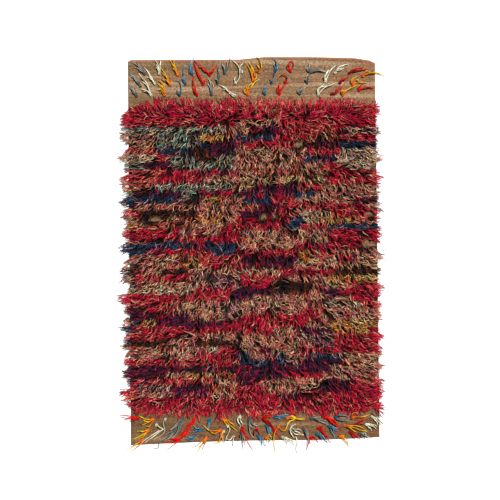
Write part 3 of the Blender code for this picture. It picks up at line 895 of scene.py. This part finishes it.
def ground_sheet():
    """The woven cloth from hem to hem: a closed sheet with rolled hems and gentle waves."""
    draw = np.random.default_rng(CLOTH_SEED)
    wave = wandering(draw, *CLOTH_WAVE_PITCH)
    ends = np.linspace(0.0, KILIM_SHARE, KILIM_ROWS, endpoint=False)
    middle = np.linspace(KILIM_SHARE, 1 - KILIM_SHARE, HIDDEN_ROWS, endpoint=False)
    v = np.concatenate([ends, middle, 1 - ends[::-1]])
    u = np.linspace(0.0, 1.0, CLOTH_COLUMNS)
    near_x = NEAR_HEM[LEFT][0] + u * (NEAR_HEM[RIGHT][0] - NEAR_HEM[LEFT][0])
    far_x = FAR_HEM[LEFT][0] + u * (FAR_HEM[RIGHT][0] - FAR_HEM[LEFT][0])
    near_y, far_y = on_line(NEAR_HEM, near_x), on_line(FAR_HEM, far_x)
    x = near_x + v[:, None] * (far_x - near_x)
    y = near_y + v[:, None] * (far_y - near_y)
    to_hem = np.minimum(y - near_y, far_y - y)
    to_side = np.minimum(x - x[:, :1], x[:, -1:] - x)
    z = CLOTH + CLOTH_WAVE * wave(x, y)
    z += HEM_RISE * np.exp(-(((to_hem - 0.5 * HEM_WIDTH) / HEM_SPREAD) ** 2))
    z += SELVEDGE_RISE * np.exp(-(((to_side - SELVEDGE_WIDTH) / SELVEDGE_WIDTH) ** 2))
    z -= EDGE_DROP * (1 - ease(np.minimum(to_hem, to_side), 0.0, EDGE_WIDTH))
    mesh, foot = closed_sheet("ground_sheet", np.stack([x, y, z], 2))

    hem_line = near(far_y - y, *FAR_LINE) + NEAR_LINE_STRENGTH * near(y - near_y, *NEAR_LINE)
    # Painted shade under the pile, clear at the bare spots.
    painted_pile_shade = ease(y - PILE_NEAR_Y, *NEAR_SHADE_EDGE) * near(y - PILE_FAR_Y, *FAR_SHADE_EDGE)
    painted_pile_shade *= 1 - ease(in_bare_spot(x, y, SPOT_CLEAR), *SPOT_CLEAR_EDGE)
    for name, values in (("hem", hem_line), ("under_pile_painted_shade", painted_pile_shade)):
        layer = mesh.attributes.new(name, "FLOAT", "POINT")
        values = np.concatenate([values.ravel(), np.zeros(foot)])
        layer.data.foreach_set("value", values.astype(np.float32))
    painted_tint = mesh.color_attributes.new("knots_in_painted_shade", "FLOAT_COLOR", "POINT")
    painted_tints = np.concatenate([knots_in_painted_shade(draw, x, y), np.ones((foot, 4))])
    painted_tint.data.foreach_set("color", painted_tints.astype(np.float32).ravel())
    return linked("ground_sheet", mesh, cloth_material())


def read_courses():
    """Each course's runs: where all but the last end, from the pile's left edge, and their wools."""
    wools = list(WOOL)
    courses = []
    for line in COURSES:
        runs = [run.split() for run in line.split(", ")]
        ends = [float(run[1]) * CM for run in runs[:-1]]
        blends = [[wools.index(wool) for wool in BLENDS[run[0]].split()] for run in runs]
        courses.append((ends, blends))
    return courses


def course_y(course):
    """y at which each course shows."""
    far = FAR_COURSE_Y - course * FAR_PITCH
    close = FAR_COURSE_Y - FAR_COURSES * FAR_PITCH - (course - FAR_COURSES) * NEAR_PITCH
    return np.where(course < FAR_COURSES, far, close)


def root_y(course):
    """y of each course's knots."""
    rising = 1 - ease(course, 0, RISING_COURSES)
    return course_y(course) + COURSE_FALL - (COURSE_FALL + COURSE_RISE) * rising


def nearest_course(y, place):
    """The course nearest to each y, where place gives every course's own y."""
    numbers = np.arange(len(COURSES))
    return np.round(np.interp(-y, -place(numbers), numbers)).astype(int)


def wool_at(course, x, pick):
    """The wool of each course at each x: pick, from 0 to 1, chooses from the blend of its run."""
    found = np.zeros(len(x), int)
    for r, (ends, blends) in enumerate(read_courses()):
        here = np.flatnonzero(course == r)
        runs = np.searchsorted(ends, x[here] - PILE_LEFT)
        for run, blend in enumerate(blends):
            inside = here[runs == run]
            found[inside] = np.array(blend)[(pick[inside] * len(blend)).astype(int)]
    return found


def pile_heading(draw, x, y):
    """The way the pile falls at each knot, in radians from +X, and how strong its push is."""
    wander_x = wandering(draw, *WANDER_PITCH, WANDERS)
    wander_y = wandering(draw, *WANDER_PITCH, WANDERS)
    to_left, to_right = x - selvedge_x(LEFT, y), selvedge_x(RIGHT, y) - x
    u = np.clip(x / HALF_WIDTH, -1, 1)
    up_end, calm = ease(y, *FAR_TURN), ease(y, *FAR_CALM)
    at_selvedge = near(to_right, *RIGHT_RIM) - near(to_left, *LEFT_RIM)
    push_x = OUT * u + OUT_AT_SIDE * u**3
    push_x += OUT_AT_SELVEDGE * (1 - LESS_AT_FAR_END * up_end) * at_selvedge
    push_x += WANDER_X * (1 - CALM_X * calm) * wander_x(x, y)
    push_y = -DOWN + UP_AT_FAR_END * up_end - DOWN_AT_NEAR_END * near(y, *NEAR_TURN)
    push_y += WANDER_Y * (1 - CALM_Y * calm) * wander_y(x, y)
    return np.arctan2(push_y, push_x), np.hypot(push_x, push_y)


def knot_places(draw):
    """The course and place of each knot: rows across the cloth, a little uneven."""
    in_row = KNOTS_IN_ROW + 2 * RIM_KNOTS
    course, place = np.meshgrid(np.arange(len(COURSES)), np.arange(in_row), indexing="ij")
    course, place = course.ravel(), place.ravel() - RIM_KNOTS
    y = root_y(course) + draw.uniform(-KNOT_STRAY, KNOT_STRAY, len(course))
    y = np.clip(y, PILE_NEAR_Y, PILE_FAR_Y)
    left, right = selvedge_x(LEFT, y) + PILE_INSET_LEFT, selvedge_x(RIGHT, y) - PILE_INSET_RIGHT
    shift = draw.uniform(-KNOT_SHIFT, KNOT_SHIFT, len(course))
    x = left + (right - left) * (place + 0.5 + shift) / KNOTS_IN_ROW
    within = draw.uniform(0, RIM_DEPTH, len(course))
    x = np.where(place < 0, left + within, np.where(place >= KNOTS_IN_ROW, right - within, x))
    return course, x, y - on_line(FAR_EDGE, x) * (1 - ease(course, 0, FAR_EDGE_COURSES))


Knots = namedtuple("Knots", "x y heading push rim ends stretch")


def pile_knots(draw):
    """Every knot, with the way its yarns fall, how near the rim it is and how they stretch."""
    course, x, y = knot_places(draw)
    heading, push = pile_heading(draw, x, y)
    to_side = np.minimum(x - selvedge_x(LEFT, y), selvedge_x(RIGHT, y) - x)
    rim = 1 - ease(to_side, *RIM_ZONE)
    loose = LOOSE + LOOSE_WHERE_WEAK * np.exp(-((push / WEAK_PUSH) ** 2))
    heading = heading + draw.normal(0, 1, len(x)) * (loose * (1 - TIGHT_AT_RIM * rim))
    reach = draw.uniform(*ROW_REACH, (len(COURSES), 2))[course, (x > 0).astype(int)]
    far_end = ease(y, PILE_FAR_Y - END_ZONE, PILE_FAR_Y)
    near_end = near(y, PILE_NEAR_Y, PILE_NEAR_Y + END_ZONE)
    ends = np.maximum(far_end, near_end)

    locks = wandering(np.random.default_rng(PILE_SEED + 1), *LOCK_PITCH)
    lock, lean = locks(x, 0.0), locks(x + LOCK_STEP, 0.0) - locks(x - LOCK_STEP, 0.0)
    heading += END_LEAN * lean * ends * (y < 0)
    side = np.sign(x)
    side_lock = locks(side, y)
    side_lean = locks(side, y + LOCK_STEP) - locks(side, y - LOCK_STEP)
    heading += SIDE_LEAN * side_lean * rim * side
    stretch = 1 + rim * (reach - 1 + SIDE_STRETCH * side_lock)
    stretch += np.where(y > 0, FAR_STRETCH, NEAR_STRETCH) * ends * lock
    return Knots(x, y, heading, push, rim, ends, stretch)


def settled(points, radii):
    """Yarn points let down to what lies under them: past the cloth's edge, or off the pile."""
    x, y, z = points[..., 0], points[..., 1], points[..., 2]
    outside = past_cloth(x, y)
    bed = np.where(outside > CLOTH_EDGE, 0.0, CLOTH)
    off_pile = np.maximum(np.maximum(y - PILE_FAR_Y, PILE_NEAR_Y - y) - FADE_FROM, 0.0)
    share = np.exp(-outside / FADE_PAST_CLOTH - off_pile / FADE_PAST_PILE)
    rest = bed + radii + YARN_CLEARANCE
    points[..., 2] = rest + np.maximum(z - rest, 0.0) * share
    return points


def yarn_paths(draw, root, heading, rise, length, curl):
    """Points of yarns that leave their roots at these headings and rises; curl scales their sway."""
    count, steps = len(root), YARN_POINTS - 1
    middle = (np.arange(steps) + 0.5) / steps

    def swaying(low, high, fewest, most):
        size, turns = draw.uniform(low, high, count), draw.uniform(fewest, most, count)
        phase = draw.uniform(0, 2 * math.pi, count)
        return size[:, None] * np.sin(2 * math.pi * turns[:, None] * middle + phase[:, None])

    fall = -np.radians(draw.uniform(0, TIP_FALL, count))
    bend = draw.normal(0, BEND, count)
    pitch = rise[:, None] + (fall - rise)[:, None] * middle**FALL_POWER + swaying(*SWAY_UP)
    yaw = heading[:, None] + bend[:, None] * (middle - BEND_MIDDLE)
    yaw = yaw + curl[:, None] * swaying(*SWAY_ASIDE)
    run = np.stack([np.cos(yaw) * np.cos(pitch), np.sin(yaw) * np.cos(pitch), np.sin(pitch)], 2)
    run *= (length / steps)[:, None, None]
    return np.concatenate([root[:, None], root[:, None] + np.cumsum(run, 1)], 1)


def pile_shapes(draw, knots):
    """Points and radii of the yarns, how flat each lies, and its level in the pile, 0 to 1."""
    knot = np.repeat(np.arange(len(knots.x)), YARNS_IN_KNOT)
    count = len(knot)
    rim = knots.rim[knot]
    flat = np.maximum(knots.rim, FLAT_AT_ENDS * knots.ends)[knot]
    length = draw.uniform(*YARN_LENGTH, count) * (1 + LONGER_WHERE_FLAT * flat)
    length *= knots.stretch[knot]
    steep = np.exp(-((knots.push / STEEP_PUSH) ** 2))[knot]
    level = draw.uniform(0, 1, count)
    near_spot = np.minimum(2 * in_bare_spot(knots.x, knots.y, SPOT_LOWER), 1.0)[knot]
    rise = np.radians(RISE + RISE_BY_LEVEL * level + RISE_WHERE_WEAK * steep)
    rise = rise * (1 - LOWER_WHERE_FLAT * flat) * (1 - LOWER_BY_SPOT * near_spot)
    root = np.stack([knots.x[knot], knots.y[knot], np.full(count, ROOT_HEIGHT)], 1)
    root[:, :2] += draw.normal(0, ROOT_STRAY, (count, 2))
    turn = draw.normal(0, YARN_TURN, count) * (1 - TURN_LESS_AT_RIM * rim)
    heading = knots.heading[knot] + turn
    points = yarn_paths(draw, root, heading, rise, length, 1 - STRAIGHTER_WHERE_FLAT * flat)
    thickness = draw.uniform(*YARN_RADIUS, count) * (THIN + THICKER_BY_LEVEL * level)
    radii = thickness[:, None] * np.interp(np.linspace(0, 1, YARN_POINTS), *YARN_TAPER)
    return settled(points, radii), radii, flat, level


def painted_light(points, flat, level):
    """Painted light and shade: how much of its dye each point of each yarn shows."""
    s = np.linspace(0, 1, YARN_POINTS)
    dark = DARK_HEIGHT - DARK_LESS_WHERE_FLAT * flat[:, None]
    full = FULL_HEIGHT - FULL_LESS_WHERE_FLAT * flat[:, None]
    along = ROOT_LIGHT + TIP_LIGHT * ease(s, 0.0, 0.5)
    lit = PILE_LIGHT * ease(points[..., 2], dark, full) * along
    lit = lit * (LOW_LIGHT + HIGH_LIGHT * level)[:, None]
    x, y = points[..., 0], points[..., 1]
    inside = np.minimum(x - selvedge_x(LEFT, y), selvedge_x(RIGHT, y) - x)
    within_ends = np.minimum(PILE_FAR_Y + OPEN_PAST_END - y, y - PILE_NEAR_Y + OPEN_PAST_END)
    in_open = ease(-np.minimum(inside, within_ends), *OPEN_EDGE)
    return np.maximum(lit, OPEN_LIGHT * in_open * ease(s, 0.1, 0.5))


def pile_yarns():
    """Points, radii and colours of every yarn in the pile, the colours with painted light and shade.
    """
    draw = np.random.default_rng(PILE_SEED)
    points, radii, flat, level = pile_shapes(draw, pile_knots(draw))
    count = len(points)
    shown = points[:, SHOWN_POINT, :2] + draw.normal(0, SHOWN_STRAY, (count, 2))
    course = nearest_course(shown[:, 1], course_y)
    wool = wool_at(course, shown[:, 0], draw.uniform(0, 1, count))
    dye = wool_table()[wool] * np.exp(draw.normal(0.0, DYE_SPREAD, count))[:, None]
    dye = dye * np.exp(draw.normal(0, HUE_SPREAD, (count, 3)))
    lit = painted_light(points, flat, level)
    # Each yarn's dye, with its painted light and shade along it.
    colours = np.clip(dye[:, None] * lit[..., None], 0.0, BRIGHTEST_YARN)
    deep = in_bare_spot(points[..., 0], points[..., 1]).max(1)
    kept = draw.uniform(0, 1, count) > SPOT_THINNING * deep
    return points[kept], radii[kept], colours[kept]


def shag_pile():
    """The pile as a few long bands of joined yarns."""
    points, radii, colours = pile_yarns()
    order = np.argsort(-points[:, 0, 1], kind="stable")
    bands = []
    for k, part in enumerate(np.array_split(order, PILE_BANDS), 1):
        cells = math.ceil(math.sqrt(len(part)))
        material = wool_material(f"pile_yarn_{k}", cells, PILE_TWISTS, PILE_STRETCHES)
        yarns = points[part], radii[part], colours[part]
        bands.append(yarn_object(f"pile_band_{k}", *yarns, YARN_SIDES, PILE_PAINTED_RIDGE, material))
    return bands


def tail_route(draw, tuft, reach, side, far):
    """Points of one yarn in a tuft's tail, from its knot to its tip."""
    t = ALONG_TAIL
    start, reach = np.array([tuft.x, tuft.y]) * MM, np.array(reach) * MM
    across = np.array([-reach[1], reach[0]]) / np.linalg.norm(reach)
    out = 4 * t * (1 - t) * tuft.bow * MM * draw.uniform(*BOW_SPREAD)
    out = out + side * TAIL_SPREAD * (SPREAD_AT_KNOT + (1 - SPREAD_AT_KNOT) * ease(t, 0.0, 0.5))
    waves = draw.uniform(*TAIL_WAVES) * t + draw.uniform(0, 1)
    out = out + TAIL_WAVER * t * np.sin(2 * math.pi * waves)
    return start + far * t[:, None] * reach + out[:, None] * across


def lain(flat, radius, arch):
    """Points of a yarn that lies over the cloth, or on the floor past the cloth's edge."""
    outside = past_cloth(flat[:, 0], flat[:, 1])
    bed = np.where(outside > BESIDE_CLOTH, 0.0, CLOTH)
    bed = np.convolve(np.pad(bed, 1, mode="edge"), SMOOTHING, mode="valid")
    bed = np.maximum(bed, np.where(outside > 0, 0.0, CLOTH))
    return np.column_stack([flat, bed + radius + arch])


def loose_route(marks):
    """A smooth path through a loose yarn's points, from the text of its row."""
    marks = np.array([mark.split() for mark in marks.split(", ")], float) * MM
    along = np.concatenate([[0.0], np.cumsum(np.linalg.norm(np.diff(marks, axis=0), axis=1))])
    steps = np.linspace(0.0, along[-1], TAIL_POINTS)
    path = np.column_stack([np.interp(steps, along, marks[:, axis]) for axis in (0, 1)])
    before, here, after = SMOOTHING
    path[1:-1] = before * path[:-2] + here * path[1:-1] + after * path[2:]
    return path


def tail_yarn(draw, flat, colour):
    """Points, radii and colours of one yarn that arches over the cloth on this route."""
    t = ALONG_TAIL
    at_knot, at_tip = (linear(shade) for shade in TUFT_WOOL[colour])
    radius = draw.uniform(*TAIL_YARN_RADIUS) * (1 - TAIL_TAPER * t**TAPER_POWER)
    over = np.sin(math.pi * np.minimum(t * TAIL_LANDING, 1.0))
    arch = draw.uniform(*TAIL_ARCH) * over + TAIL_CLEARANCE
    blend = ease(t, *TIP_SHADE_ZONE)[:, None]
    dye = at_knot * (1 - blend) + at_tip * blend
    dye = dye * math.exp(draw.normal(TAIL_DYE_MEAN, TAIL_DYE_SPREAD))
    return lain(flat, radius, arch), radius, dye


def read_tuft(row):
    """The tuft in a row of the tables."""
    colour, *numbers = row.split()
    return Tuft(colour, *(int(number) for number in numbers))


def tuft_tails(draw, tufts, sides):
    """The yarns of each tuft's two tails, one for each of the sides."""
    yarns = []
    for tuft in tufts:
        if tuft.bow is None:
            continue
        for reach in ((tuft.tip_x, tuft.tip_y), (tuft.tip2_x, tuft.tip2_y)):
            for k, side in enumerate(sides):
                far = 1.0 if k == 0 else draw.uniform(*SHORTER_TAIL)
                aside = side + draw.uniform(-SIDE_STRAY, SIDE_STRAY)
                flat = tail_route(draw, tuft, reach, aside, far)
                yarns.append(tail_yarn(draw, flat, tuft.colour))
    return yarns


def tuft_knots(draw, tufts):
    """The two lobes of each tuft's knot, like two short thick yarns side by side."""
    t = ALONG_TAIL
    hump = np.sqrt(np.clip(1 - (2 * t - 1) ** 2, 0.0, 1.0))
    radius = KNOT_RADIUS * (KNOT_TIP + (1 - KNOT_TIP) * hump)
    along = np.linspace(-KNOT_BEHIND * KNOT_LENGTH, KNOT_AHEAD * KNOT_LENGTH, TAIL_POINTS)
    lobes = []
    for tuft in tufts:
        knot_colour = linear(TUFT_WOOL[tuft.colour][0])
        heading = math.atan2(tuft.tip_y + tuft.tip2_y, tuft.tip_x + tuft.tip2_x)
        ahead_x, ahead_y = math.cos(heading), math.sin(heading)
        for side in (-1, 1):
            off = side * KNOT_SPREAD * (1 + KNOT_BULGE * hump)
            x = tuft.x * MM + along * ahead_x - off * ahead_y
            y = tuft.y * MM + along * ahead_y + off * ahead_x
            points = np.column_stack([x, y, CLOTH + KNOT_LIFT + KNOT_HUMP * hump])
            dye = knot_colour * math.exp(draw.normal(0, KNOT_DYE_SPREAD))
            lobes.append((points, radius, np.tile(dye, (TAIL_POINTS, 1))))
    return lobes


def tuft_object(name, tufts, loose, sides, seed):
    """The tufts and loose yarns of one kilim end, from their rows, as one mesh."""
    draw = np.random.default_rng(seed)
    tufts = [read_tuft(row) for row in tufts]
    loose = [row.split(": ") for row in loose]
    yarns = [tail_yarn(draw, loose_route(marks), colour) for colour, marks in loose]
    yarns += tuft_tails(draw, tufts, sides)
    yarns += tuft_knots(draw, tufts)
    points, radii, colours = (np.array(part) for part in zip(*yarns))
    colours = np.clip(colours, 0.0, BRIGHTEST_TUFT)
    cells = math.ceil(math.sqrt(len(points)))
    material = wool_material(name + "_yarn", cells, TUFT_TWISTS, TUFT_STRETCHES)
    return yarn_object(name, points, radii, colours, TAIL_SIDES, TUFT_PAINTED_RIDGE, material)


def floor():
    """A plain white floor, just under the rug."""
    mesh = bpy.data.meshes.new("floor")
    corners = ((-1, -1), (1, -1), (1, 1), (-1, 1))
    points = [(FLOOR_HALF * x, FLOOR_HALF * y, -FLOOR_DROP) for x, y in corners]
    mesh.from_pydata(points, [], [(0, 1, 2, 3)])
    material, tree, shader = new_material("floor_paper", FLOOR_ROUGHNESS, 0.0)
    fill(tree, shader, {"Base Color": (FLOOR_WHITE, FLOOR_WHITE, FLOOR_WHITE, 1.0)})
    fill(tree, shader, {"Emission Color": WHITE, "Emission Strength": FLOOR_GLOW})
    linked("floor", mesh, material)


def lights():
    """A faint even sky and one soft key from the upper right."""
    world = bpy.data.worlds.new("studio")
    world.use_nodes = True
    tree = world.node_tree
    fill(tree, tree.nodes["Background"], {"Color": WHITE, "Strength": SKY_STRENGTH})
    bpy.context.scene.world = world
    key = bpy.data.lights.new("key", "SUN")
    key.energy = KEY_STRENGTH
    key.angle = math.radians(KEY_WIDTH)
    linked("key", key).rotation_euler = [math.radians(turn) for turn in KEY_TURN]


def camera():
    """Straight down, with the rug's far end at the top of the frame."""
    data = bpy.data.cameras.new("camera")
    data.lens = LENS
    data.sensor_width = SENSOR
    data.clip_end = FARTHEST_SEEN
    thing = linked("camera", data)
    thing.location = (CAMERA_X, 0.0, FRAME_WIDTH * LENS / SENSOR)
    bpy.context.scene.camera = thing


bpy.context.scene.view_settings.view_transform = "Standard"
camera()
lights()
floor()

ground = ground_sheet()
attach(ground, "root")
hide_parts("ground_weave", "kilim_end_far", "kilim_end_near")

bands = shag_pile()
for band in bands:
    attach(band, "root")
    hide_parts("shag_pile")

far_tufts = tuft_object("tufts_far", FAR_TUFTS, FAR_LOOSE, FAR_TAIL_SIDES, TUFT_SEED)
near_tufts = tuft_object("tufts_near", NEAR_TUFTS, NEAR_LOOSE, NEAR_TAIL_SIDES, TUFT_SEED + 1)
for tufts, node in ((far_tufts, "kilim_end_far"), (near_tufts, "kilim_end_near")):
    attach(tufts, "root")
    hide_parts(node)
